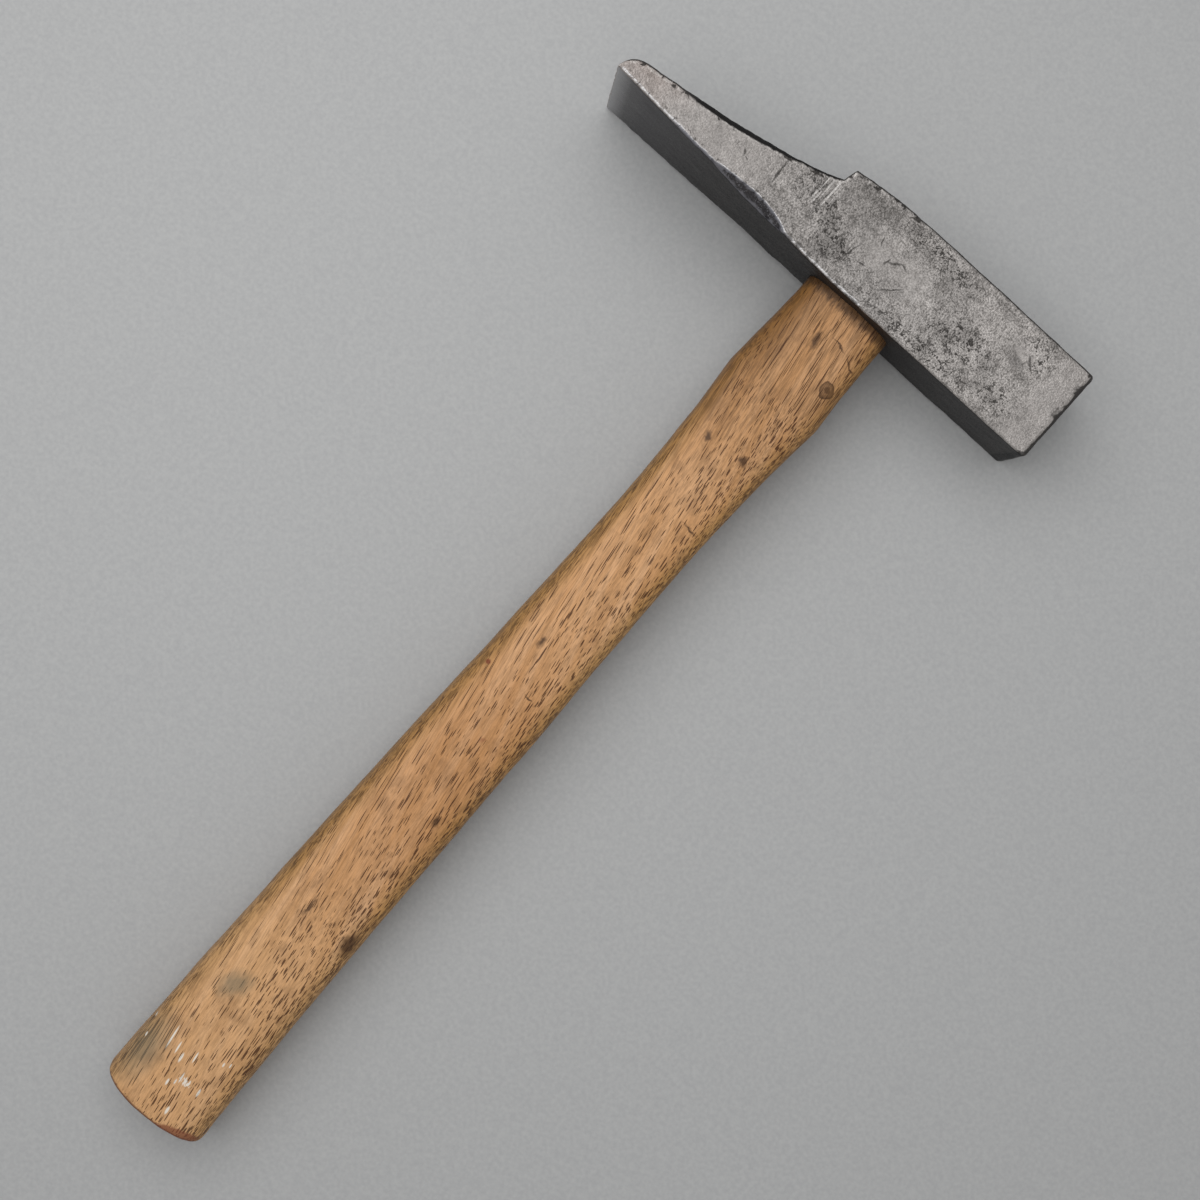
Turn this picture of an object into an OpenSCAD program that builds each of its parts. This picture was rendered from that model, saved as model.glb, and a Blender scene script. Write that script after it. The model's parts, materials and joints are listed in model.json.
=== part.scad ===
// Veneer hammer, hand forged: a square-bodied steel head with a flared cross peen,
// wedged on an oval hardwood handle.
// Each piece is drawn on the hammer's own axes, which cross in the middle of the eye:
// X runs out of the striking face, Y up the handle and out of the head's top,
// Z square to the cheeks. laid_down() then turns the hammer over onto its side,
// as it lies on a bench, with the centre of the striking face at the origin.
// All sizes are in millimetres and degrees.

/* [Head] */
// Side of the head's square body
body_size = 29; // [24:0.5:34]
// From the handle's axis to the striking face
face_reach = 61.7; // [48:0.1:80]
// Lean of the striking face, whose lower edge stands out farther than its upper one
face_lean = 2.7; // [0:0.1:6]
// Rounding where the striking face meets the body's sides
face_round = 1.6; // [0.5:0.1:3]
// Rounding of the body's and the peen's long edges
edge_round = 0.9; // [0.4:0.1:1.6]

/* [Peen] */
// From the handle's axis to the peen's working edge
peen_reach = 88; // [70:1:110]
// Width of the working edge, from cheek to cheek
peen_edge_width = 52; // [36:0.5:70]
// Thickness of the peen behind its rounded working edge
peen_edge_thickness = 6.2; // [3:0.1:8]
// Slope of the peen's underside, which rises from the body
underside_rise = 1.4; // [0:0.1:4]
// From the handle's axis to where the cheeks begin to spread
flare_reach = 4; // [4:0.5:18]
// Length over which the cheeks bend out to their full spread
flare_bend = 15; // [2:1:30]
// From the handle's axis to where the head's top begins to round down
crown_reach = 0; // [0:0.5:4]
// From the handle's axis to the upper corner of the step
step_reach = 23.8; // [20:0.2:30]
// Drop of the step from the body down to the peen
step_height = 4.2; // [2:0.1:8]
// How far the foot of the step stands out past its corner
step_lean = 1; // [0.2:0.1:2]
// How far the head's top has rounded down where it meets the step
crown_drop = 2.6; // [0.5:0.1:4]
// From the foot of the step to where the sweep below it bends most
sweep_bend = 11; // [4:0.5:25]
// How far that sweep is pulled below a straight line from step to edge
sweep_dip = 3.2; // [0.5:0.1:5]

/* [Dressed flats] */
// From the handle's axis to the middle of the two flats on the handle's side
neck_flat_reach = 46; // [30:1:60]
// Length of those flats
neck_flat_length = 40; // [20:1:50]
// Width of those flats where they are widest
neck_flat_width = 3.8; // [1:0.1:4]
// Share of their length, from the outer end, at which they are widest
neck_flat_peak = 0.7; // [0.2:0.05:0.8]
// From the handle's axis to the middle of the flat on the top side
top_flat_reach = 52; // [40:1:60]
// Length of that flat
top_flat_length = 46; // [20:1:50]
// Width of that flat where it is widest
top_flat_width = 2.2; // [0.5:0.1:3]
// Share of its length, from the outer end, at which it is widest
top_flat_peak = 0.4; // [0.2:0.05:0.8]

/* [Eye] */
// Length of the eye, along the head, where the handle enters
eye_length = 27.6; // [22:0.2:32]
// Width of the eye, across the head, where the handle enters
eye_width = 16; // [12:0.5:18]
// How much the eye narrows toward its middle
eye_waist = 0.8; // [0.2:0.1:2]
// How much wider than at its mouth the eye is at the head's top
eye_spread = 1; // [0.2:0.1:2]
// Clearance between the eye's wall and the tenon in it
eye_clearance = 0.05; // [0.02:0.01:0.2]
// Squareness of the eye and of the handle's oval, where 2 is an ellipse
squareness = 3; // [2:0.1:5]

/* [Handle] */
// From the middle of the eye to the butt's end
handle_reach = 304.7; // [220:0.1:380]
// Width of the handle at the butt, seen on its side
butt_width = 32.4; // [26:0.2:40]
// Thickness of the handle at the butt
butt_thickness = 21.5; // [17:0.5:26]
// Width of the handle at the palm, seen on its side
palm_width = 28; // [24:0.2:36]
// Thickness of the handle at the palm
palm_thickness = 20.5; // [16:0.5:25]
// From the middle of the eye to the palm
palm_reach = 162; // [130:1:190]
// Width of the handle at the waist, seen on its side
waist_width = 25.8; // [22:0.2:32]
// Thickness of the handle at the waist
waist_thickness = 18.6; // [15:0.2:23]
// From the middle of the eye to the waist
waist_reach = 96; // [70:1:120]
// Width of the handle at the shoulder, seen on its side
shoulder_width = 30.8; // [28:0.2:36]
// Thickness of the handle at the shoulder
shoulder_thickness = 19.6; // [17:0.2:24]
// From the middle of the eye to the shoulder
shoulder_reach = 45; // [30:1:60]
// How much the neck is larger all round than the eye that it bears against
neck_lip = 0.25; // [0.1:0.05:1]
// How far the butt leans toward the striking face
butt_lean = 1; // [0:0.1:3]
// Length of the handle over which it leans
lean_length = 80; // [40:1:140]
// Rounding of the butt's rim
butt_round = 1.5; // [0.5:0.1:4]
// How far the butt's end curves back at its sides
butt_crown = 1.6; // [0.5:0.1:6]
// How far the tenon stands proud of the head's top
tenon_proud = 0.8; // [0.4:0.1:2]

/* [Wedges] */
// From the head's underside up to the wooden wedge's tip
wood_wedge_stop = 8.8; // [6:0.2:12]
// Thickness of the wooden wedge at its head
wood_wedge_thickness = 4.2; // [3:0.1:6]
// Width of the saw kerf, and of the wooden wedge's tip
kerf_width = 1; // [0.6:0.1:1.6]
// How much deeper than the wedge the kerf is sawn
kerf_spare = 2; // [0.5:0.1:3]
// How far above the wooden wedge's tip the steel wedge stops
steel_wedge_stop = 6; // [3:0.5:10]
// Wood left between each side of the steel wedge and the narrowest part of the eye
steel_wedge_margin = 1.6; // [1:0.1:3]
// Thickness of the steel wedge at its head
steel_wedge_thickness = 3; // [2:0.1:4]
// Thickness of the steel wedge at its tip
steel_wedge_tip = 0.8; // [0.4:0.1:1.2]
// Number of barbed steps on each side of the steel wedge
barbs = 4; // [2:1:6]
// Ledge of each barb
barb_ledge = 0.25; // [0.1:0.05:0.4]

/* [Hidden] */

// Amount by which a cutter passes through a face
through = 1;
// Number of points on an oval ring, and on each corner of an oblong ring
oval_points = 40;
corner_points = 4;
// Number of rings along the crown, the sweep and the working edge of the peen
crown_rings = 5;
sweep_rings = 20;
edge_rings = 6;
// Spacing of the rings along the handle
ring_spacing = 6;
$fn = 64;

steel_colour = "#6f7072";
handle_colour = "#b3865a";
wedge_wood_colour = "#8a5f3e";
wedge_steel_colour = "#4e4f51";

body_half = body_size / 2;
edge_half = peen_edge_width / 2;
butt_rim = handle_reach - butt_crown - 2 * butt_round;
tenon_end = body_half + tenon_proud;
wood_wedge_depth = tenon_end + body_half - wood_wedge_stop;
steel_wedge_depth = wood_wedge_depth - steel_wedge_stop;
steel_wedge_width = eye_width - eye_waist - 2 * steel_wedge_margin;

// Underside and cheeks of the head at x, where the peen lies at negative x
function spread(x) =
    let (past = max(0, -flare_reach - x))
    past < flare_bend ? past ^ 2 / (2 * flare_bend) : past - flare_bend / 2;
function underside(x) = spread(x) * tan(underside_rise) - body_half;
function cheek(x) = body_half + (edge_half - body_half) * spread(x) / spread(-peen_reach);

// Middles of the body's two round corners at a striking face that leans so far, from its centre
function face_corners(lean) = [
    for (side = [-1, 1])
        let (height = side * (body_half - face_round))
        [-(face_round + height * sin(lean)) / cos(lean), height]
];

// The top's outline: a crown down to the step, a sweep, and a round working edge
edge_centre_x = peen_edge_thickness - peen_reach;
edge_centre = [edge_centre_x, underside(edge_centre_x)];
step_foot = [-step_reach - step_lean, body_half - crown_drop - step_height];
sweep_start = edge_centre + [0, peen_edge_thickness];
sweep_share = sweep_bend / (step_foot.x - sweep_start.x);
sweep_pull = step_foot + (sweep_start - step_foot) * sweep_share - [0, sweep_dip];
edge_start_angle = 90 + atan2(sweep_pull.y - sweep_start.y, sweep_pull.x - sweep_start.x);
edge_end_angle = 174;

function crown_point(share) =
    [-crown_reach - (step_reach - crown_reach) * share, body_half - crown_drop * share ^ 2];
function edge_point(angle) = edge_centre + peen_edge_thickness * [cos(angle), sin(angle)];
function sweep_point(share) =
    step_foot * (1 - share) ^ 2
    + sweep_pull * 2 * share * (1 - share)
    + edge_point(edge_start_angle) * share ^ 2;

top_outline = [
    for (i = [0:crown_rings]) crown_point(i / crown_rings),
    for (i = [0:sweep_rings]) sweep_point(i / sweep_rings),
    for (i = [1:edge_rings])
        edge_point(edge_start_angle + (edge_end_angle - edge_start_angle) * i / edge_rings)
];

function power(value, exponent) = sign(value) * abs(value) ^ exponent;

// An oval ring of points across the handle
function oval_ring(y, width, thickness, lean = 0) = [
    for (i = [0:oval_points - 1])
        let (angle = 360 * i / oval_points)
        [
            lean + width / 2 * power(cos(angle), 2 / squareness),
            y,
            thickness / 2 * power(sin(angle), 2 / squareness)
        ]
];

// How far a flat reaches from a long edge of the peen onto each of the two sides that meet there
function flat_leg(x, reach, length, width, peak) =
    let (share = max(0, min(1, (x + reach) / length + 0.5)) ^ (ln(0.5) / ln(peak)))
    width / sqrt(2) * 4 * share * (1 - share);

// A corner of a ring across the peen: round, or flat where the flat reaches farther
function corner(point, first_angle, radius, leg = 0) =
    let (
        size = max(radius, leg),
        bend = leg > radius ? 2 : 1,
        outward = [0, sign(cos(first_angle + 45)), sign(sin(first_angle + 45))]
    )
    [
        for (i = [0:corner_points])
            let (angle = first_angle + 90 * i / corner_points)
            point - size * outward + size * [0, power(cos(angle), bend), power(sin(angle), bend)]
    ];

// A ring of points across the peen, through a point of the top's outline
function peen_ring(point) =
    let (
        x = point.x,
        low = underside(x),
        side = cheek(x),
        most = 0.45 * (point.y - low),
        radius = min(edge_round, most),
        neck_leg = flat_leg(x, neck_flat_reach, neck_flat_length, neck_flat_width, neck_flat_peak),
        top_leg = flat_leg(x, top_flat_reach, top_flat_length, top_flat_width, top_flat_peak)
    )
    [
        each corner([x, point.y, side], 0, radius, min(top_leg, most)),
        each corner([x, low, side], 90, radius, min(neck_leg, most)),
        each corner([x, low, -side], 180, radius, min(neck_leg, most)),
        each corner([x, point.y, -side], 270, radius)
    ];

// Size of the eye at height y in the head, as [length, width]
function eye_at(y) =
    let (share = (y / body_half) ^ 2, swell = y < 0 ? 0 : eye_spread)
    [eye_length, eye_width] + [1, 1] * ((eye_waist + swell) * share - eye_waist);

// Handle outline from butt to shoulder, as [distance from the eye, width, thickness],
// joined by a smooth curve that is level where the outline turns
stations = [
    [butt_rim, butt_width, butt_thickness],
    [palm_reach, palm_width, palm_thickness],
    [waist_reach, waist_width, waist_thickness],
    [shoulder_reach, shoulder_width, shoulder_thickness]
];
function secant(i, k) = (stations[i + 1][k] - stations[i][k]) / (stations[i + 1][0] - stations[i][0]);
function level_slope(before, after) = before * after <= 0 ? 0 : (before + after) / 2;
function slope(i, k) =
    i == 0 ? 2 * secant(0, k) - slope(1, k)
    : i == len(stations) - 1 ? 2 * secant(i - 1, k) - slope(i - 1, k)
    : level_slope(secant(i - 1, k), secant(i, k));
function smooth(i, k, share) =
    let (run = stations[i + 1][0] - stations[i][0])
    stations[i][k] * (1 + 2 * share) * (1 - share) ^ 2
    + run * slope(i, k) * share * (1 - share) ^ 2
    + stations[i + 1][k] * share ^ 2 * (3 - 2 * share)
    - run * slope(i + 1, k) * share ^ 2 * (1 - share);
function lean_at(reach) = butt_lean * (max(0, reach - butt_rim + lean_length) / lean_length) ^ 2;

function grip_ring(i, share) =
    let (reach = stations[i][0] + (stations[i + 1][0] - stations[i][0]) * share)
    oval_ring(-reach, smooth(i, 1, share), smooth(i, 2, share), lean_at(reach));
function neck_ring(share) =
    let (
        neck = eye_at(-body_half) + [2, 2] * neck_lip,
        size = neck + ([shoulder_width, shoulder_thickness] - neck) * share ^ 2
    )
    oval_ring(-body_half - (shoulder_reach - body_half) * share, size.x, size.y);

// A ring on the butt's curved end, or that far before it and inside the handle's outline
function butt_ring(scale, inset = 0, before = 0) =
    let (lean = lean_at(butt_rim))
    [
        for (point = oval_ring(0, scale * (butt_width - 2 * inset), scale * (butt_thickness - 2 * inset)))
            let (share = 2 * point.x / butt_width)
            [lean + point.x, butt_crown * share ^ 2 + before - handle_reach, point.z]
    ];

function tenon_ring(y, inset = eye_clearance) =
    let (size = eye_at(min(y, body_half)) - [2, 2] * inset)
    oval_ring(y, size.x, size.y);

end_rings = [for (share = [0.1:0.2:0.9]) butt_ring(share, butt_round)];
rim_rings = [for (angle = [90:-22.5:0])
    butt_ring(1, butt_round * (1 - cos(angle)), butt_round * (1 - sin(angle)))];
grip_rings = [
    for (i = [0:len(stations) - 2])
        let (count = ceil((stations[i][0] - stations[i + 1][0]) / ring_spacing))
        for (step = [0:count - 1]) grip_ring(i, step / count)
];
neck_rings = [for (share = [1:-0.2:0]) neck_ring(share)];
tenon_rings = [
    for (share = [-1:0.25:1]) tenon_ring(body_half * share),
    tenon_ring(tenon_end - tenon_proud / 2),
    tenon_ring(tenon_end, eye_clearance + tenon_proud / 2)
];

// How the hammer lies: on the peen's lower corner, the striking face and the butt
tip_low = [-peen_reach, edge_centre.y, -edge_half];
face_low = [face_reach + face_corners(face_lean)[0].x, edge_round - body_half, -body_half];
butt_low = [butt_lean, -butt_rim, -butt_thickness / 2];
bench_across = cross(butt_low - tip_low, face_low - tip_low);
bench_normal = bench_across / norm(bench_across);
rest_pitch = -asin(bench_normal.x);
rest_roll = atan2(bench_normal.y, bench_normal.z);

module laid_down() {
    rotate([rest_roll, rest_pitch, 0]) translate([-face_reach, 0, 0]) children();
}

// A solid through a row of rings that have as many points each, capped at both ends
module loft(rings) {
    count = len(rings[0]);
    last = len(rings) - 1;
    polyhedron(
        points = [for (ring = rings) each ring],
        faces = [
            [for (i = [count - 1:-1:0]) i],
            for (r = [0:last - 1], i = [0:count - 1])
                let (next = (i + 1) % count)
                each [
                    [r * count + i, r * count + next, (r + 1) * count + i],
                    [r * count + next, (r + 1) * count + next, (r + 1) * count + i]
                ],
            [for (i = [0:count - 1]) last * count + i]
        ]
    );
}

module rounded_square(size, radius) {
    square([size, size - 2 * radius], center = true);
    square([size - 2 * radius, size], center = true);
    for (x = [-1, 1], y = [-1, 1])
        translate([x, y] * (size / 2 - radius)) circle(radius);
}

// The body seen from the side, with round corners at a striking face that leans so far
module body_outline(lean) {
    corners = face_corners(lean);
    outward = [cos(lean), sin(lean)];
    polygon([
        [-2 * face_reach, -body_half],
        [corners[0].x, -body_half],
        corners[0] + face_round * outward,
        corners[1] + face_round * outward,
        [corners[1].x, body_half],
        [-2 * face_reach, body_half]
    ]);
    for (corner = corners) translate(corner) circle(face_round);
}

module body() {
    intersection() {
        translate([-crown_reach, 0, 0]) rotate([90, 0, 90])
            linear_extrude(crown_reach + face_reach + body_half) rounded_square(body_size, edge_round);
        translate([face_reach, 0, 0]) rotate([0, -face_lean, 0])
            linear_extrude(2 * body_size, center = true) body_outline(0);
        translate([face_reach, 0, 0]) rotate([90, 0, 0])
            linear_extrude(body_size, center = true) body_outline(face_lean);
    }
}

module eye() {
    mouth = eye_at(-body_half);
    crest = eye_at(body_half);
    loft([
        oval_ring(-body_half - through, mouth.x, mouth.y),
        for (share = [-1:0.25:1])
            let (size = eye_at(body_half * share)) oval_ring(body_half * share, size.x, size.y),
        oval_ring(body_half + through, crest.x, crest.y)
    ]);
}

module head() {
    color(steel_colour) difference() {
        union() {
            body();
            loft([for (point = top_outline) peen_ring(point)]);
        }
        eye();
    }
}

module tenon() {
    loft(tenon_rings);
}

// The wooden wedge fills the sawn kerf, seen along the head
module wedge_profile() {
    polygon([
        [tenon_end + through, wood_wedge_thickness / 2],
        [tenon_end, wood_wedge_thickness / 2],
        [tenon_end - wood_wedge_depth, kerf_width / 2],
        [tenon_end - wood_wedge_depth, -kerf_width / 2],
        [tenon_end, -wood_wedge_thickness / 2],
        [tenon_end + through, -wood_wedge_thickness / 2]
    ]);
}

module across_eye(length) {
    rotate([90, 0, 90]) linear_extrude(length, center = true) children();
}

module kerf() {
    across_eye(2 * body_size) {
        wedge_profile();
        translate([tenon_end - wood_wedge_depth - kerf_spare, -kerf_width / 2])
            square([wood_wedge_depth, kerf_width]);
    }
}

// The steel wedge is driven across the wooden one, and its ledges face up the eye
module barbed_profile(extra = 0) {
    step = steel_wedge_depth / barbs;
    taper = (steel_wedge_thickness - steel_wedge_tip) / 2 / barbs;
    side = [
        for (i = [0:barbs - 1])
            let (upper = steel_wedge_thickness / 2 - taper * i)
            let (ledge = i + 1 < barbs ? barb_ledge : 0)
            each [
                [upper, tenon_end - step * i],
                [upper - taper - ledge, tenon_end - step * (i + 1)]
            ]
    ];
    polygon(concat(
        [[steel_wedge_thickness / 2, tenon_end + extra]],
        side,
        [for (i = [len(side) - 1:-1:0]) [-side[i].x, side[i].y]],
        [[-steel_wedge_thickness / 2, tenon_end + extra]]
    ));
}

module steel_wedge_body(extra = 0) {
    linear_extrude(steel_wedge_width, center = true) barbed_profile(extra);
}

module handle() {
    color(handle_colour) difference() {
        loft(concat(end_rings, rim_rings, grip_rings, neck_rings, tenon_rings));
        kerf();
        steel_wedge_body(through);
    }
}

module wooden_wedge() {
    color(wedge_wood_colour) difference() {
        intersection() {
            tenon();
            across_eye(2 * body_size) wedge_profile();
        }
        steel_wedge_body(through);
    }
}

module steel_wedge() {
    color(wedge_steel_colour) steel_wedge_body();
}

laid_down() head();
laid_down() handle();
laid_down() wooden_wedge();
laid_down() steel_wedge();
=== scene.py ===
"""Looks for the veneer hammer: a worn, hand-forged steel head on a used hardwood handle.

Lengths are in metres in the part's frame, unless a name ends in _MM. Patterns are drawn in
millimetres on the hammer's own axes, which cross in the middle of the eye: X runs out of the
striking face, Y up the handle and Z out of the upper cheek.
"""

import json
from functools import partial
from math import radians

import bmesh
import bpy
from mathutils import Matrix, Vector
from mathutils.kdtree import KDTree


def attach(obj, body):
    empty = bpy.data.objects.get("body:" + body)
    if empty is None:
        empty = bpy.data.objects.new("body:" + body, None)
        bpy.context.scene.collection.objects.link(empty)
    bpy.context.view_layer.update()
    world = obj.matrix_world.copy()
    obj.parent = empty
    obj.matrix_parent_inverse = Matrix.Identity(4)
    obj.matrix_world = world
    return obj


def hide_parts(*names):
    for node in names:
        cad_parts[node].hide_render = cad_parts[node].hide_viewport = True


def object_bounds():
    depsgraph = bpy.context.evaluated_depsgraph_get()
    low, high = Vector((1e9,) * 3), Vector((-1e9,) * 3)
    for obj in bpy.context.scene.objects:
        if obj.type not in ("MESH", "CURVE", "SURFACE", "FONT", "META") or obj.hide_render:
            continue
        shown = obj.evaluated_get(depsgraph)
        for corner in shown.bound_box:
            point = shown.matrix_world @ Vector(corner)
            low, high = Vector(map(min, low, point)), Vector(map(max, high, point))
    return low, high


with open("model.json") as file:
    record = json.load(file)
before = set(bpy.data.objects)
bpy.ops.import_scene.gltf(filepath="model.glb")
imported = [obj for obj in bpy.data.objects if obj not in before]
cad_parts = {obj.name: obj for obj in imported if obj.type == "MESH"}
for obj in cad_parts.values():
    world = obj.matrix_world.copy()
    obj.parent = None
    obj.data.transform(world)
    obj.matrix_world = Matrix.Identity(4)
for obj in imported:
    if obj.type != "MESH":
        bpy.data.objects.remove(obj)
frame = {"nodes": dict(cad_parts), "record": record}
cad_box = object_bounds()

MM = 0.001

# How the hammer lies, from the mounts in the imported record
MOUNTS = {mount["name"]: Vector(mount["pos_m"]) for mount in frame["record"]["mounts"]}
CHEEK_OUT = (MOUNTS["upper_cheek"] - MOUNTS["lower_cheek"]).normalized()
HANDLE_UP = (MOUNTS["neck"] - MOUNTS["grip"]).normalized()
FACE_OUT = HANDLE_UP.cross(CHEEK_OUT)
TURN = Matrix((FACE_OUT, HANDLE_UP, CHEEK_OUT)).transposed()
BODY_MIDDLE = (MOUNTS["upper_cheek"] + MOUNTS["lower_cheek"]) / 2
EYE_CENTRE = BODY_MIDDLE + FACE_OUT * (MOUNTS["neck"] - BODY_MIDDLE).dot(FACE_OUT)
FACE_MM = (MOUNTS["striking_face"] - EYE_CENTRE).dot(FACE_OUT) / MM
CHEEK_MM = (MOUNTS["upper_cheek"] - BODY_MIDDLE).length / MM
BENCH_Z = cad_box[0].z
BUTT_MM = (cad_box[0] - EYE_CENTRE).dot(HANDLE_UP) / MM

# The camera stands over the handle, a little off the vertical
CAMERA_HEIGHT = 0.529195
CAMERA_XY = (-0.061404, -0.130106)
CAMERA_TILT = (0.8761, -0.9501)
CAMERA_TURN = 41.3007
CAMERA_LENS_MM = 56.04

# The wood's growth rings and its grain, which runs out of the handle's side
GRAIN = Vector((-0.156, 1, -0.075)).normalized()
RINGS_OUT = Vector((0.7, 0.22, 0.7)).normalized()
RINGS_ALONG = RINGS_OUT.cross(GRAIN)
GRAIN_TURN = 8.9

# Kinds of shader node
COORDINATES = "ShaderNodeTexCoord"
MAPPING = "ShaderNodeMapping"
NOISE = "ShaderNodeTexNoise"
CELLS = "ShaderNodeTexVoronoi"
RAMP = "ShaderNodeValToRGB"
MATH = "ShaderNodeMath"
VECTOR_MATH = "ShaderNodeVectorMath"
MIX = "ShaderNodeMix"
BUMP = "ShaderNodeBump"
RANGE = "ShaderNodeMapRange"
AXES = "ShaderNodeSeparateXYZ"


def linear(hex_colour):
    """sRGB hex colour to linear RGBA."""
    parts = [int(hex_colour[i : i + 2], 16) / 255 for i in (1, 3, 5)]
    return [c / 12.92 if c <= 0.04045 else ((c + 0.055) / 1.055) ** 2.4 for c in parts] + [1]


def fill(tree, made, inputs):
    """Gives a node's inputs their values, colours or links."""
    for name, value in inputs.items():
        socket = made.inputs[name]
        if isinstance(value, bpy.types.NodeSocket):
            tree.links.new(value, socket)
        else:
            socket.default_value = linear(value) if isinstance(value, str) else value


def add(tree, kind, inputs=None, out=0, stops=None, **settings):
    """Adds a node with its settings, ramp stops and inputs, and returns one of its outputs."""
    made = tree.nodes.new(kind)
    for name, value in settings.items():
        setattr(made, name, value)
    if stops:
        elements = made.color_ramp.elements
        while len(elements) < len(stops):
            elements.new(1)
        for element, (position, shade) in zip(elements, stops):
            element.position = position
            element.color = linear(shade) if isinstance(shade, str) else (shade,) * 3 + (1,)
    fill(tree, made, inputs or {})
    return made.outputs[out]


def start(name):
    """A new material, what adds nodes to it, and the hammer's own coordinates in millimetres."""
    material = bpy.data.materials.new(name)
    material.use_nodes = True
    node = partial(add, material.node_tree)
    inputs = {
        "Vector": node(COORDINATES, out="Object"),
        "Location": EYE_CENTRE,
        "Rotation": TURN.to_euler("XYZ"),
        "Scale": (MM, MM, MM),
    }
    return material, node, node(MAPPING, inputs, vector_type="TEXTURE")


def finish(material, inputs):
    """Gives the material's shader its inputs."""
    fill(material.node_tree, material.node_tree.nodes["Principled BSDF"], inputs)
    return material


def joined(node, operation, *masks):
    """Several masks in one: their MAXIMUM, or their MULTIPLY where all of them must hold."""
    together = masks[0]
    for mask in masks[1:]:
        together = node(MATH, {0: together, 1: mask}, operation=operation)
    return together


def coats(node, colour, *layers):
    """Lays coats of colour over one another, each as strong as it says and where its mask is."""
    for strength, mask, over in layers:
        amount = node(MATH, {0: mask, 1: strength}, operation="MULTIPLY")
        colour = node(MIX, {0: amount, 6: colour, 7: over}, out=2, data_type="RGBA")
    return colour


def shaded(node, colour, *tones):
    """Darkens or lightens a colour by patterns of grey."""
    for tone in tones:
        inputs = {0: 1.0, 6: colour, 7: tone}
        colour = node(MIX, inputs, out=2, data_type="RGBA", blend_type="MULTIPLY")
    return colour


def relief(node, *layers):
    """Bumps from several heights laid over one another, each as deep as it says in millimetres."""
    height = 0.0
    for depth_mm, layer in layers:
        height = node(MATH, {0: layer, 1: depth_mm, 2: height}, operation="MULTIPLY_ADD")
    return node(BUMP, {"Height": height, "Distance": MM, "Strength": 1.0})


def blotch(node, place, centre, size, soft=0.6, turn=0):
    """1 inside an oval blotch at a place on the hammer, running out to 0 around it."""
    inputs = {"Vector": place, "Location": centre, "Rotation": (0, 0, radians(turn)), "Scale": size}
    moved = node(MAPPING, inputs, vector_type="TEXTURE")
    distance = node(VECTOR_MATH, {0: moved}, out="Value", operation="LENGTH")
    return node(RANGE, {0: distance, 1: 1 - soft, 2: 1.0, 3: 1.0, 4: 0.0})


def facing(node, direction, low, high):
    """1 where the surface faces that way on the hammer, running out to 0 around it."""
    normal = node("ShaderNodeNewGeometry", out="Normal")
    way = TURN @ Vector(direction).normalized()
    along = node(VECTOR_MATH, {0: normal, 1: way}, out="Value", operation="DOT_PRODUCT")
    return node(RANGE, {0: along, 1: low, 2: high})


def wandering(node, place, size, reach):
    """Coordinates that wander by up to half that reach, so that nothing has a straight border."""
    noise = node(NOISE, {"Vector": place, "Scale": 1 / size, "Detail": 4.0}, out="Color")
    noise = node(VECTOR_MATH, {0: noise, 1: (0.5, 0.5, 0.5)}, operation="SUBTRACT")
    return node(VECTOR_MATH, {0: noise, 1: (reach,) * 3, 2: place}, operation="MULTIPLY_ADD")


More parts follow.
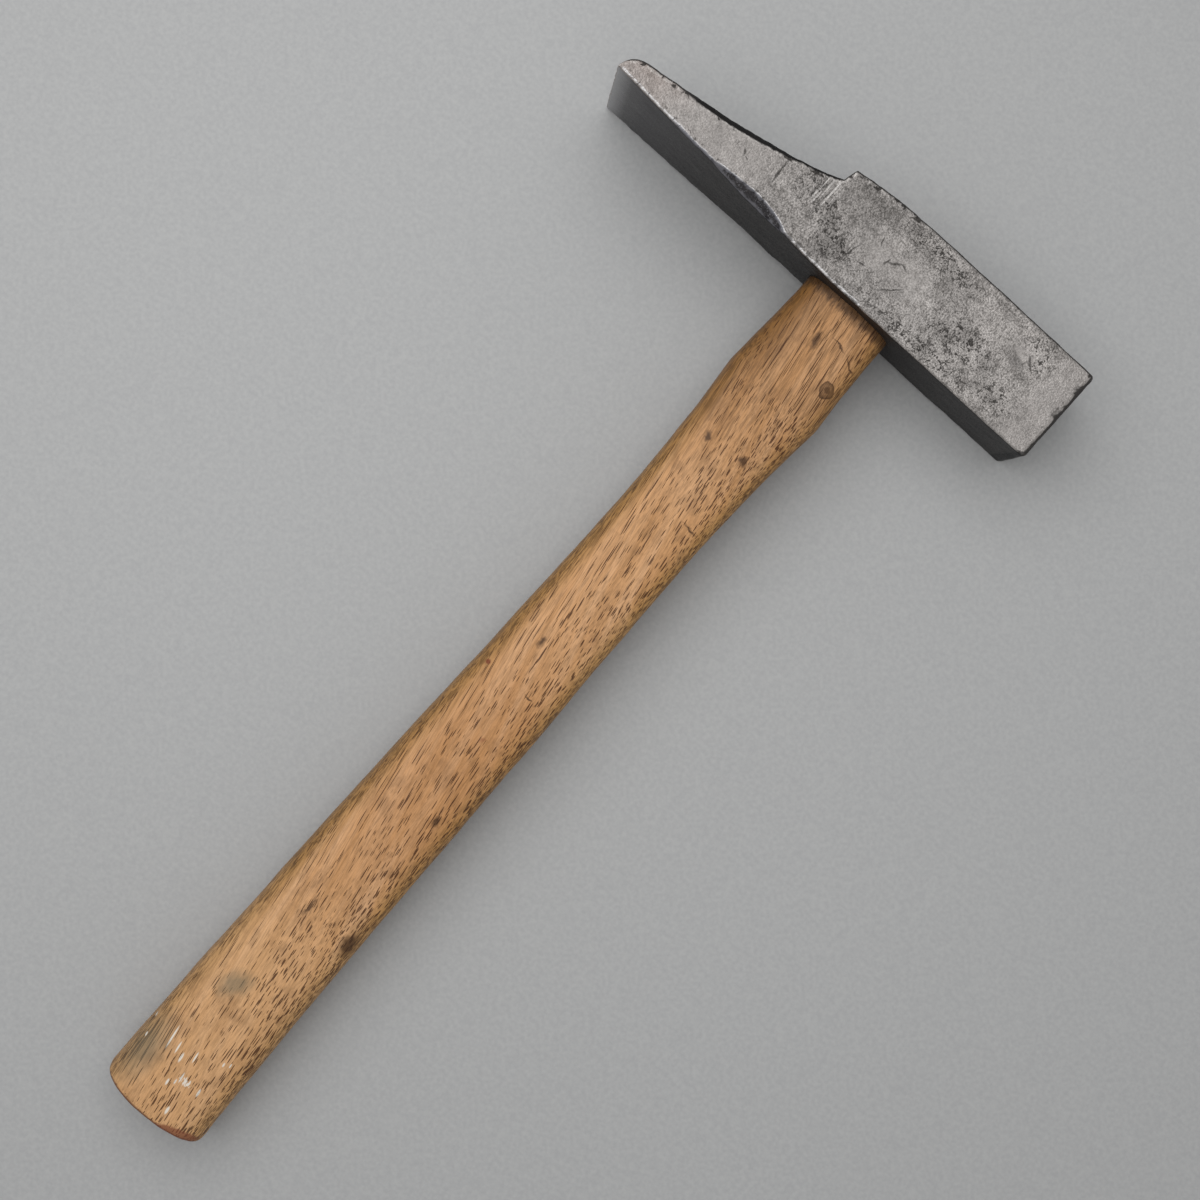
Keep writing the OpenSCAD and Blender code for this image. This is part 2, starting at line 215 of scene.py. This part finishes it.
def forged_steel():
    """Hand-forged carbon steel, wire-brushed and handled for years: dull grey metal with dark
    scale left in its hollows, small curled marks, and a smoother ground band at the face."""
    material, node, place = start("worn_forged_steel")
    roaming = wandering(node, place, 5, 6)
    bent = wandering(node, place, 2.5, 1.8)
    axes = node(AXES, {"Vector": place}).node.outputs
    # Grit of half a millimetre, and unevenness of 2, 5 and 14 mm
    grit = node(NOISE, {"Vector": place, "Scale": 1 / 0.5, "Detail": 1.5, "Roughness": 0.6})
    grain = node(NOISE, {"Vector": place, "Scale": 1 / 2.0, "Detail": 4.0, "Roughness": 0.7})
    lumps = node(NOISE, {"Vector": place, "Scale": 1 / 5, "Detail": 5.0, "Roughness": 0.65})
    cloud = node(NOISE, {"Vector": place, "Scale": 1 / 14, "Detail": 3.0})
    # The peen and the band by the face are smoother than the body
    smooth_places = ((-4, 0, 9, 7), (5, 0, 11, 7), (42, 6, 5, 4), (-66, -6, 34, 14))
    smooth = [blotch(node, roaming, (x, y, CHEEK_MM), (w, h, 14), 0.6) for x, y, w, h in smooth_places]
    ground = node(RANGE, {0: axes["X"], 1: FACE_MM - 14, 2: FACE_MM - 9})
    smooth = joined(node, "MAXIMUM", *smooth)
    rugged = node(RANGE, {0: smooth, 3: 1.0, 4: 0.5})
    colour = node(
        RAMP,
        {"Fac": grain},
        stops=((0.3, "#8b8784"), (0.42, "#96928f"), (0.55, "#9f9b98"), (0.7, "#a7a3a0")),
    )
    tone = node(RAMP, {"Fac": grit}, stops=((0.36, 0.66), (0.48, 0.98), (0.62, 1.16)))
    tone = node(MIX, {0: rugged, 6: (1, 1, 1, 1), 7: tone}, out=2, data_type="RGBA")
    colour = shaded(
        node,
        colour,
        tone,
        node(RAMP, {"Fac": lumps}, stops=((0.36, 0.86), (0.5, 1.0), (0.68, 1.08))),
        node(RAMP, {"Fac": cloud}, stops=((0.36, 0.86), (0.6, 1.02))),
        # Painted light: the body is lightened toward the face, where more lamp light falls
        node(RAMP, {"Fac": node(RANGE, {0: axes["X"], 1: 0.0, 2: FACE_MM})}, stops=((0.0, 1.0), (0.7, 1.2), (0.85, 1.06), (1.0, 1.0))),
    )
    peen = node(RANGE, {0: axes["X"], 1: -38, 2: -46})
    bright = blotch(node, bent, (41, 8, CHEEK_MM), (5, 3.4, 9), 0.6)
    colour = coats(node, colour, (0.4, joined(node, "MAXIMUM", ground, peen), "#b6b1ae"), (0.6, bright, "#b8b3b0"))
    # Dark scale is left in patches
    patches = (
        (-17, 9.5, 5, 3), (-10, 9, 7, 4), (0, 10, 7, 3), (6.1, 8.8, 4, 4), (14.2, 4.7, 4, 4),
        (27.6, 0.3, 5, 3.5), (38.6, 3.2, 3, 2.5), (45.5, 1, 4, 2.2), (9.7, -12, 6, 2.5), (20.6, -11, 7, 2.8),
        (33.8, -10.6, 6, 2.5), (44.3, -8.4, 5, 3), (-16, -7, 5, 6), (-21, -2, 4, 3), (22, -4, 5, 3),
        (47, 13, 8, 2), (30, 12.5, 8, 1.5),
    )
    patch = [blotch(node, roaming, (x, y, CHEEK_MM), (w, h, 9), 0.7) for x, y, w, h in patches]
    patch = joined(node, "MAXIMUM", *patch)
    speck = node(RANGE, {0: grit, 1: 0.4, 2: 0.56, 3: 1.0, 4: 0.5})
    # Pits, and small curled marks that the forging left
    pitted_places = (
        (-16, -7, 8, 7), (-22, -2, 7, 6), (-30, 0, 6, 6), (27, -3, 14, 8), (46, 8, 9, 6), (9, 10, 18, 4),
        (-51, -5, 4, 4), (20, -11, 26, 4), (44, -8, 10, 5),
    )
    pitted = [blotch(node, roaming, (x, y, CHEEK_MM), (w, h, 9), 0.6) for x, y, w, h in pitted_places]
    pitted = joined(node, "MAXIMUM", *pitted)
    cells = node(CELLS, {"Vector": bent, "Scale": 1 / 1.3}, out="Distance")
    pits = joined(node, "MULTIPLY", node(RANGE, {0: cells, 1: 0.2, 2: 0.12}), pitted)
    curls = node(NOISE, {"Vector": bent, "Scale": 1 / 1.5, "Detail": 1.0, "Distortion": 0.6})
    curls = node(MATH, {0: curls, 1: 0.5}, operation="SUBTRACT")
    curls = node(MATH, {0: curls}, operation="ABSOLUTE")
    curls = node(RANGE, {0: curls, 1: 0.06, 2: 0.035})
    broken = node(RANGE, {0: grain, 1: 0.52, 2: 0.46})
    calm = node(RANGE, {0: joined(node, "MAXIMUM", smooth, ground, peen), 3: 1.0, 4: 0.3})
    curls = joined(node, "MULTIPLY", curls, broken, calm)
    deep = joined(node, "MULTIPLY", curls, pitted)
    # Long forge cracks, a crease across the peen and a nick near the face
    cracks = (
        (-39, -3, 4, 0.35, 4.8, 3), (-38, 2, 4, 0.3, 2.6, -40), (44.6, 5.8, 0, 0.45, 2.2, 38),
        (45.6, 4.6, 0, 0.4, 1.8, 62), (0.3, 0.7, 0, 0.5, 3, -52), (-1.6, -0.6, 0, 0.45, 1.8, -10),
        (2.6, 1.6, 0, 0.4, 1.4, 70), (3.7, -5.4, 0, 0.2, 4.6, -49),
        (-6.7, -5.5, 0, 0.3, 1.3, -70), (-6.2, 2.7, 0, 0.3, 1.4, 20), (-11, -5.2, 0, 0.35, 4.5, -14),
        (-18.6, 11.3, 0, 0.5, 1.8, -20), (-19.3, -5.9, 0, 0.5, 1.4, -60), (-52, -5.2, 4, 0.3, 1.2, 10),
        (-49.5, -5.5, 4, 0.35, 1.3, 20), (-48, -6.5, 4, 0.35, 1.0, 70), (-16.5, -10.5, 0, 0.4, 2, 60),
    )
    cracks = [
        blotch(node, bent, (x, y, CHEEK_MM + z), (w, h, 4), 0.7, turn) for x, y, z, w, h, turn in cracks
    ]
    hollow = joined(node, "MAXIMUM", pits, deep, *cracks)
    # File scratches across the peen's root, and a flat mark near the face
    across = node(MAPPING, {"Vector": place, "Rotation": (0, 0, radians(-15)), "Scale": (1.9, 0.08, 0.3)})
    filed = node(NOISE, {"Vector": across, "Scale": 1.0, "Detail": 2.0})
    where = blotch(node, bent, (-26.5, 2, CHEEK_MM + 2), (4, 6, 6), 0.4)
    light = node(RANGE, {0: filed, 1: 0.52, 2: 0.6})
    dark = node(RANGE, {0: filed, 1: 0.46, 2: 0.38})
    flat_mark = blotch(node, bent, (42.4, 3.2, CHEEK_MM), (3.2, 1.9, 9), 0.5)
    colour = coats(
        node,
        colour,
        (0.6, flat_mark, "#6d6a68"),
        (0.55, joined(node, "MULTIPLY", patch, speck), "#524f4c"),
        (0.35, curls, "#4c4946"),
        (0.8, hollow, "#302d2b"),
        (0.6, joined(node, "MULTIPLY", where, light), "#e2dfdc"),
        (0.5, joined(node, "MULTIPLY", where, dark), "#4a4846"),
    )
    # A brown bloom near the peen's working edge
    bloom = blotch(node, roaming, (-84, -4, CHEEK_MM + 9), (18, 15, 16), 0.8)
    colour = coats(node, colour, (0.3, bloom, "#8a6f62"))
    # Edges: painted highlight on the burnished edge toward the handle; chips and painted shade on the far side and at
    # the face
    edge = node("ShaderNodeAttribute", out="Fac", attribute_name="edge_distance")
    chips = node(NOISE, {"Vector": bent, "Scale": 1 / 2.2, "Detail": 2.0})
    frayed = node(MATH, {0: chips, 1: 2.4, 2: edge}, operation="MULTIPLY_ADD")
    end = node(RANGE, {0: axes["X"], 1: FACE_MM - 4, 2: FACE_MM - 3})
    # Painted shade on the rounded edges that turn away from the sky, on the far side and at the face
    level = node(MATH, {0: chips, 1: 0.3, 2: facing(node, (0, 0, 1), 0, 1)}, operation="MULTIPLY_ADD")
    level = node(MATH, {0: end, 1: -0.07, 2: level}, operation="MULTIPLY_ADD")
    turned_away_shade = node(RANGE, {0: level, 1: 1.07, 2: 1.02})
    notched = joined(
        node, "MULTIPLY", node(RANGE, {0: chips, 1: 0.57, 2: 0.59}), node(RANGE, {0: edge, 1: 0.9, 2: 0.6})
    )
    side = node(MATH, {0: axes["X"], 1: -0.114, 2: axes["Y"]}, operation="MULTIPLY_ADD")
    far_side = joined(node, "MAXIMUM", node(RANGE, {0: side, 1: -0.5, 2: 0.5}), end)
    inner = joined(node, "MULTIPLY", node(RANGE, {0: edge, 1: 0.0, 2: 0.15}), node(RANGE, {0: edge, 1: 0.7, 2: 0.4}))
    inner = joined(node, "MULTIPLY", inner, node(RANGE, {0: chips, 1: 0.5, 2: 0.45}), far_side)
    # A painted highlight along the rounded, burnished edge toward the handle, where it faces the light
    painted_edge_highlight = joined(
        node,
        "MULTIPLY",
        facing(node, (0, -1, 2), 0.95, 0.98),
        node(RANGE, {0: grain, 1: 0.42, 2: 0.5, 3: 0.35, 4: 1.0}),
        node(RANGE, {0: edge, 1: 0.5, 2: 0.3}),
    )
    colour = coats(
        node,
        colour,
        (0.4, inner, "#d8d4d0"),
        (0.85, painted_edge_highlight, "#e6e5e6"),
        # Chips, and painted shade where the edges turn away from the sky
        (0.85, joined(node, "MULTIPLY", far_side, joined(node, "MAXIMUM", turned_away_shade, notched)), "#2b2928"),
        (0.6, joined(node, "MULTIPLY", notched, facing(node, (0, -1, 1.3), 0.6, 0.7)), "#45423f"),
    )
    # Painted shade: the smooth underside, which faces the handle, is painted dark, and lighter toward the working
    # edge, further from the handle
    under = facing(node, (0, -1, 0), 0.82, 0.93)
    toward_edge = node(RANGE, {0: axes["X"], 1: -50, 2: -88})
    underside_shade = node(RAMP, {"Fac": toward_edge}, stops=((0.0, "#1d1d1f"), (0.7, "#47474a"), (0.85, "#5e5e60"), (1.0, "#b4b4b6")))
    # The neck's dressed flat is painted blue-black, its blued colour with painted shade, with specks where the blue
    # has worn off; the top flat is painted black as shade
    along_peen = blotch(node, place, (-47, 0, CHEEK_MM + 4), (25, 40, 30), 0.2)
    worn = joined(
        node, "MAXIMUM", node(RANGE, {0: grit, 1: 0.58, 2: 0.68}), node(RANGE, {0: frayed, 1: 2.1, 2: 1.5})
    )
    blue_and_shade = node(MIX, {0: worn, 6: linear("#2c2c32"), 7: linear("#7c7d85")}, out=2, data_type="RGBA")
    neck_flat = joined(node, "MULTIPLY", facing(node, (0, -1, 1), 0.86, 0.95), along_peen)
    top_flat = joined(node, "MULTIPLY", facing(node, (0, 1, 1), 0.82, 0.93), along_peen)
    colour = coats(node, colour, (0.9, under, underside_shade), (0.85, neck_flat, blue_and_shade), (0.9, top_flat, "#201f1f"))
    # Relief of the grit, the unevenness and the marks, calmer on the smoother parts
    calm = node(RANGE, {0: joined(node, "MAXIMUM", smooth, under), 3: 1.0, 4: 0.3})
    uneven = node(MATH, {0: lumps, 1: 2.5, 2: grain}, operation="MULTIPLY_ADD")
    uneven = node(MATH, {0: grit, 1: 0.8, 2: uneven}, operation="MULTIPLY_ADD")
    normal = relief(node, (-0.07, hollow), (0.15, joined(node, "MULTIPLY", uneven, calm)))
    rough = node(RANGE, {0: grit, 1: 0.35, 2: 0.65, 3: 0.62, 4: 0.5})
    return finish(material, {"Base Color": colour, "Metallic": 0.85, "Roughness": rough, "Normal": normal})


def used_hardwood():
    """Open-pored hardwood rubbed smooth by hands and darkened by dirt: pinkish tan, with dark
    pores cut open as dashes and long lines where the grain runs along the surface."""
    material, node, place = start("used_open_pored_hardwood")
    axes = node(AXES, {"Vector": place}).node.outputs
    bent = wandering(node, place, 3, 2.4)
    bent_axes = node(AXES, {"Vector": bent}).node.outputs
    rows = Matrix((RINGS_OUT, GRAIN, RINGS_ALONG))
    grown = node(MAPPING, {"Vector": place, "Rotation": rows.to_euler("XYZ")})
    sway = node(MAPPING, {"Vector": grown, "Scale": (0.05, 0.012, 0.05)})
    sway = node(NOISE, {"Vector": sway, "Scale": 1.0}, out="Color")
    sway = node(VECTOR_MATH, {0: sway, 1: (0.5, 0.5, 0.5)}, operation="SUBTRACT")
    grown = node(VECTOR_MATH, {0: sway, 1: (3.5, 0, 3.5), 2: grown}, operation="MULTIPLY_ADD")
    # Growth rings and fine fibre
    rings = node(MAPPING, {"Vector": grown, "Scale": (0.5, 0.012, 0.09)})
    rings = node(NOISE, {"Vector": rings, "Scale": 1.0, "Detail": 3.0})
    colour = node(RAMP, {"Fac": rings}, stops=((0.3, "#bc8b5b"), (0.5, "#cb9a6b"), (0.7, "#d6a87d")))
    fibre = node(MAPPING, {"Vector": grown, "Scale": (3.2, 0.16, 3.2)})
    fibre = node(NOISE, {"Vector": fibre, "Scale": 1.0, "Detail": 3.0, "Roughness": 0.65})
    colour = shaded(node, colour, node(RAMP, {"Fac": fibre}, stops=((0.34, 0.66), (0.48, 0.97), (0.62, 1.07))))
    # The sides are yellower and darker
    left = facing(node, (-1, 0, 0), 0.3, 0.8)
    right = facing(node, (1, 0, 0), 0.25, 0.75)
    sides = joined(node, "MAXIMUM", left, right)
    colour = coats(node, colour, (0.6, right, "#bb8f4e"), (0.75, left, "#99723c"))
    # Vessels: tubes a third of a millimetre wide, in rows along the rings. They are cut open as
    # dashes, and as long lines on the left, where the grain runs along the surface
    crowd = node(MAPPING, {"Vector": grown, "Scale": (0.3, 0.014, 0.12)})
    crowd = node(NOISE, {"Vector": crowd, "Scale": 1.0, "Detail": 2.0})
    reach = node(RANGE, {0: crowd, 1: 0.36, 2: 0.64, 3: 0.17, 4: 0.27})
    greyed = blotch(node, bent, (-11, -290, 8), (7, 14, 9), 0.8)
    crowded = joined(node, "MAXIMUM", facing(node, (0.9, 0, 0.45), 0.3, 0.75), greyed)
    reach = node(MATH, {0: crowded, 1: 0.09, 2: reach}, operation="MULTIPLY_ADD")
    vessel = 0.0
    for width, length, shift in ((0.46, 28, 0.0), (0.62, 55, 0.5)):
        inputs = {"Vector": grown, "Location": (shift,) * 3, "Scale": (1 / width, 1 / length, 1 / width)}
        cells = node(CELLS, {"Vector": node(MAPPING, inputs), "Scale": 1.0}, out="Distance")
        inside = node(MATH, {0: reach, 1: cells}, operation="SUBTRACT")
        inside = node(RANGE, {0: inside, 1: 0.0, 2: 0.07})
        vessel = node(MATH, {0: vessel, 1: inside}, operation="MAXIMUM")
    # Dirt on the sides and toward the head, in flecks along the grain
    fleck = node(MAPPING, {"Vector": grown, "Scale": (2.2, 0.12, 2.2)})
    fleck = node(NOISE, {"Vector": fleck, "Scale": 1.0, "Detail": 4.0, "Roughness": 0.72})
    fleck = node(RANGE, {0: fleck, 1: 0.47, 2: 0.55})
    smudge = node(NOISE, {"Vector": bent, "Scale": 1 / 7, "Detail": 5.0, "Roughness": 0.6})
    smudge = node(RANGE, {0: smudge, 1: 0.52, 2: 0.66})
    by_head = node(RANGE, {0: axes["Y"], 1: -85, 2: -55})
    neck_left = joined(
        node, "MULTIPLY", node(RANGE, {0: bent_axes["X"], 1: -3.0, 2: -11.0}), node(RANGE, {0: axes["Y"], 1: -70, 2: -35})
    )
    dirty = joined(node, "MAXIMUM", sides, node(RANGE, {0: by_head, 3: 0.3, 4: 0.6}))
    colour = coats(
        node,
        colour,
        (0.3, by_head, "#93663a"),
        (0.35, blotch(node, bent, (2, -180, 9), (18, 48, 20), 0.6), "#a8703a"),
        (0.7, neck_left, "#7a5327"),
        (0.4, node(RANGE, {0: bent_axes["Y"], 1: -225, 2: -250}), "#d8ac7c"),
        (0.3, blotch(node, bent, (-1, -78, 8), (8, 14, 12), 0.8), "#dcb086"),
        (0.3, smudge, "#7a5738"),
        (0.7, joined(node, "MULTIPLY", dirty, fleck), "#4f371c"),
        (0.9, vessel, "#4a2812"),
    )
    # A ragged band of painted shade where the neck meets the head
    ragged = node(MAPPING, {"Vector": place, "Scale": (1.1, 0.35, 1.1)})
    ragged = node(NOISE, {"Vector": ragged, "Scale": 1.0, "Detail": 4.0})
    joint_shade = node(MATH, {0: ragged, 1: 5.0, 2: axes["Y"]}, operation="MULTIPLY_ADD")
    joint_shade = node(RANGE, {0: joint_shade, 1: -CHEEK_MM - 1, 2: -CHEEK_MM + 1})
    # Dark stains, cracks and a knot
    stains = (
        (-1.7, -27.5, 1.3, 3.4, 10), (5.3, -65, 1.6, 2.2, 9), (-6.6, -66.3, 1.2, 1.8, 9),
        (-3.4, -137.4, 1.3, 2.2, 9), (7.3, -192.9, 1.3, 2.2, 9), (11.8, -233.8, 3, 5.2, 4),
        (-3.2, -232.2, 0.8, 4.4, 9), (-13.5, -88.5, 0.7, 3.6, 9), (10.5, -27, 0.5, 4, 60),
        (4, -24.5, 0.4, 3, 75), (6.6, -88.4, 0.5, 3, 82), (3.8, -151.3, 0.5, 1.9, 80),
        (6.5, -151.1, 0.5, 1.5, -10),
    )
    torn = wandering(node, place, 2, 2.5)
    stains = [blotch(node, torn, (x, y, 9), (w, h, 6), 0.6, turn) for x, y, w, h, turn in stains]
    inputs = {"Vector": bent, "Location": (9.6, -35.6, 8), "Scale": (2.3, 2.7, 6)}
    knot = node(MAPPING, inputs, vector_type="TEXTURE")
    knot = node(VECTOR_MATH, {0: knot}, out="Value", operation="LENGTH")
    knot = node(RAMP, {"Fac": knot}, stops=((0.3, 0.95), (0.45, 0.6), (0.7, 0.75), (0.9, 1.0), (1.15, 0.0)))
    grey = joined(
        node,
        "MAXIMUM",
        blotch(node, bent, (-4.2, -261, 10), (4.5, 7, 6), 0.7, -35),
        greyed,
    )
    colour = coats(
        node,
        colour,
        # Painted shade where the neck meets the head
        (0.75, joint_shade, "#3a2718"),
        (0.85, joined(node, "MAXIMUM", knot, *stains), "#3f2714"),
        (0.8, blotch(node, place, (-10.7, -151, 8), (0.9, 0.9, 4), 0.5), "#6d2c1c"),
        (0.5, blotch(node, torn, (2, -168, 9), (1.4, 1.1, 5), 0.7), "#7a3a22"),
        (0.65, grey, "#756c58"),
    )
    # Flecks of old white paint near the butt
    flecks = (
        (-7.7, -283, 0.3, 3), (-4.7, -284, 0.3, 1.6), (-2.3, -285.6, 0.45, 1.3), (0.6, -283.1, 0.3, 1.5),
        (-0.8, -293, 0.4, 0.9), (0.8, -291.6, 0.3, 0.7), (1.4, -289.7, 0.3, 1.4), (2.7, -289.9, 0.3, 1.2),
        (4, -289.6, 0.3, 0.8), (7.6, -290.1, 0.4, 1.1), (4.3, -299, 0.5, 1.1), (7.7, -279.9, 0.3, 0.6),
        (9.3, -279, 0.25, 0.6), (-14.8, -282.6, 0.3, 0.8), (-15.6, -286.3, 0.3, 0.7), (-13.4, -287.8, 0.25, 0.6),
    )
    flecks = [blotch(node, place, (x, y, 9), (w, 1.4 * h, 6), 0.4, GRAIN_TURN) for x, y, w, h in flecks]
    spatter = node(MAPPING, {"Vector": grown, "Scale": (2.1, 0.8, 2.1)})
    spatter = node(NOISE, {"Vector": spatter, "Scale": 1.0, "Detail": 2.0})
    where = blotch(node, bent, (3, -290, 10), (7, 3, 6), 0.8)
    spatter = node(RANGE, {0: joined(node, "MULTIPLY", spatter, where), 1: 0.45, 2: 0.52})
    # End grain on the butt: red-brown and dirty
    butt = joined(node, "MULTIPLY", facing(node, (0, -1, 0), 0.35, 0.6), node(RANGE, {0: axes["Y"], 1: -250, 2: -260}))
    colour = coats(
        node,
        colour,
        (0.85, joined(node, "MAXIMUM", spatter, *flecks), "#e4e0d6"),
        (0.85, butt, "#6b3f28"),
        (0.8, blotch(node, bent, (10, -303, 8), (8, 2, 9), 0.3, 15), "#7d4630"),
    )
    normal = relief(node, (-0.1, vessel), (0.05, fibre))
    inputs = {"Base Color": colour, "Roughness": 0.5, "Specular IOR Level": 0.25, "Normal": normal}
    return finish(material, inputs)


def wedge_wood():
    """End grain of the wooden wedge, cut flush and darkened by dirt and oil."""
    material, node, place = start("dirty_end_grain")
    grain = node(MAPPING, {"Vector": place, "Scale": (0.8, 0.08, 2)})
    grain = node(NOISE, {"Vector": grain, "Scale": 1.0, "Detail": 4.0})
    colour = node(RAMP, {"Fac": grain}, stops=((0.35, "#4d3422"), (0.55, "#6f4d31"), (0.7, "#84603e")))
    return finish(material, {"Base Color": colour, "Roughness": 0.75, "Normal": relief(node, (0.08, grain))})


def wedge_steel():
    """Plain mild steel wedge, hammered in and browned."""
    material, node, place = start("dull_mild_steel")
    grain = node(NOISE, {"Vector": place, "Scale": 1 / 1.5, "Detail": 4.0})
    colour = node(RAMP, {"Fac": grain}, stops=((0.35, "#45413d"), (0.55, "#5f5f60"), (0.7, "#757677")))
    normal = relief(node, (0.05, grain))
    return finish(material, {"Base Color": colour, "Metallic": 0.9, "Roughness": 0.5, "Normal": normal})


def painted_board():
    """Smooth grey-painted board with a faint speckle."""
    material, node, place = start("grey_painted_board")
    speck = node(NOISE, {"Vector": place, "Scale": 1 / 1.2, "Detail": 3.0})
    colour = node(RAMP, {"Fac": speck}, stops=((0.3, "#a3a4a5"), (0.7, "#acadad")))
    return finish(material, {"Base Color": colour, "Roughness": 0.6})


def dress(name, material):
    """Gives a CAD node its finish."""
    node = frame["nodes"][name]
    node.data.materials.clear()
    node.data.materials.append(material)


def copy_of(node_name, piece_name, material):
    """A merged copy of a CAD node, to be worn, that stands in its place."""
    piece = frame["nodes"][node_name].copy()
    piece.data = piece.data.copy()
    piece.name = piece.data.name = piece_name
    piece.parent = None
    for key in list(piece.keys()):
        del piece[key]
    bpy.context.scene.collection.objects.link(piece)
    bpy.ops.object.select_all(action="DESELECT")
    piece.select_set(True)
    bpy.context.view_layer.objects.active = piece
    bpy.ops.object.mode_set(mode="EDIT")
    bpy.ops.mesh.select_all(action="SELECT")
    bpy.ops.mesh.remove_doubles(threshold=0.002 * MM)
    bpy.ops.object.mode_set(mode="OBJECT")
    piece.data.materials.clear()
    piece.data.materials.append(material)
    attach(piece, "root")
    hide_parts(node_name)
    return piece


def apply(piece, kind, **settings):
    """Adds one modifier with its settings and applies it."""
    modifier = piece.modifiers.new(kind.lower(), kind)
    for name, value in settings.items():
        setattr(modifier, name, value)
    bpy.ops.object.modifier_apply(modifier=modifier.name)


def wear(piece, size_mm, depth_mm, group=""):
    """Pushes the surface in and out by a cloudy pattern of that size."""
    clouds = bpy.data.textures.new("clouds", "CLOUDS")
    clouds.noise_scale = size_mm * MM
    clouds.noise_depth = 2
    apply(
        piece,
        "DISPLACE",
        texture=clouds,
        texture_coords="LOCAL",
        strength=depth_mm * MM,
        mid_level=0.5,
        vertex_group=group,
    )


def sharp_edges(piece, least_angle):
    """Points every half millimetre along the edges that turn by more than an angle."""
    found = bmesh.new()
    found.from_mesh(piece.data)
    points = []
    for edge in found.edges:
        if len(edge.link_faces) == 2 and edge.calc_face_angle() > least_angle:
            near, far = (vertex.co for vertex in edge.verts)
            steps = max(1, round((far - near).length / (0.5 * MM)))
            points += [near.lerp(far, step / steps) for step in range(steps + 1)]
    found.free()
    tree = KDTree(len(points))
    for index, point in enumerate(points):
        tree.insert(point, index)
    tree.balance()
    return tree


def mark(piece, name, weight_at):
    """A group of vertices with the weight that each has at its place."""
    group = piece.vertex_groups.new(name=name)
    for vertex in piece.data.vertices:
        weight = weight_at(vertex.co)
        if weight > 0:
            group.add([vertex.index], weight, "REPLACE")


def forged_head():
    head = copy_of("head", "forged_head", forged_steel())
    edges = sharp_edges(head, radians(8))
    apply(head, "REMESH", mode="SHARP", octree_depth=8, scale=0.9, sharpness=1.0)
    distance = head.data.attributes.new("edge_distance", "FLOAT", "POINT")
    for vertex, item in zip(head.data.vertices, distance.data):
        item.value = edges.find(vertex.co)[2] / MM
    mark(head, "rim", lambda place: max(0, 1 - edges.find(place)[2] / (1.2 * MM)))
    apply(head, "SMOOTH", factor=0.5, iterations=2, vertex_group="rim")
    wear(head, 14, 0.45)
    wear(head, 3.5, 0.12)
    wear(head, 2.5, 0.35, "rim")
    bpy.ops.object.shade_smooth()
    return head


def worn_handle():
    handle = copy_of("handle", "worn_handle", used_hardwood())
    apply(handle, "REMESH", mode="SHARP", octree_depth=9, scale=0.9, sharpness=1.0)
    neck_end = (MOUNTS["neck"] - EYE_CENTRE).dot(HANDLE_UP) * 0.8
    mark(
        handle,
        "below_head",
        lambda place: min(1, max(0, (neck_end - (place - EYE_CENTRE).dot(HANDLE_UP)) / (2 * MM))),
    )
    apply(handle, "SMOOTH", factor=0.5, iterations=12, vertex_group="below_head")
    wear(handle, 22, 0.5, "below_head")
    wear(handle, 6, 0.12, "below_head")
    bpy.ops.object.shade_smooth_by_angle(angle=radians(40))
    return handle


def floor():
    bpy.ops.mesh.primitive_plane_add(size=6, location=(EYE_CENTRE.x, EYE_CENTRE.y, BENCH_Z))
    board = bpy.context.object
    board.name = "floor"
    bpy.ops.object.transform_apply(location=True)
    board.data.materials.append(painted_board())


def camera():
    data = bpy.data.cameras.new("camera")
    data.lens = CAMERA_LENS_MM
    data.sensor_width = 36
    made = bpy.data.objects.new("camera", data)
    bpy.context.scene.collection.objects.link(made)
    made.location = (*CAMERA_XY, BENCH_Z + CAMERA_HEIGHT)
    made.rotation_euler = [radians(angle) for angle in (*CAMERA_TILT, CAMERA_TURN)]
    bpy.context.scene.camera = made
    return made


def lights(seen_from):
    """A large soft lamp toward the photograph's upper left, and an even sky."""
    turned = seen_from.rotation_euler.to_matrix()
    right = turned @ Vector((1, 0, 0))
    up = turned @ Vector((0, 1, 0))
    data = bpy.data.lights.new("window", "AREA")
    data.shape = "DISK"
    data.size = 0.9
    data.energy = 3.55
    lamp = bpy.data.objects.new("window", data)
    bpy.context.scene.collection.objects.link(lamp)
    aim = Vector((*CAMERA_XY, BENCH_Z))
    lamp.location = aim - right * 0.1 + up * 0.2 + Vector((0, 0, 0.6))
    lamp.rotation_euler = (lamp.location - aim).to_track_quat("Z", "Y").to_euler()
    world = bpy.data.worlds.new("studio")
    bpy.context.scene.world = world
    world.use_nodes = True
    background = world.node_tree.nodes["Background"]
    background.inputs["Color"].default_value = linear("#f6f5f4")
    background.inputs["Strength"].default_value = 0.463


bpy.ops.object.select_all(action="DESELECT")
floor()
forged_head()
worn_handle()
dress("wooden_wedge", wedge_wood())
dress("steel_wedge", wedge_steel())
lights(camera())
bpy.context.scene.view_settings.view_transform = "Standard"
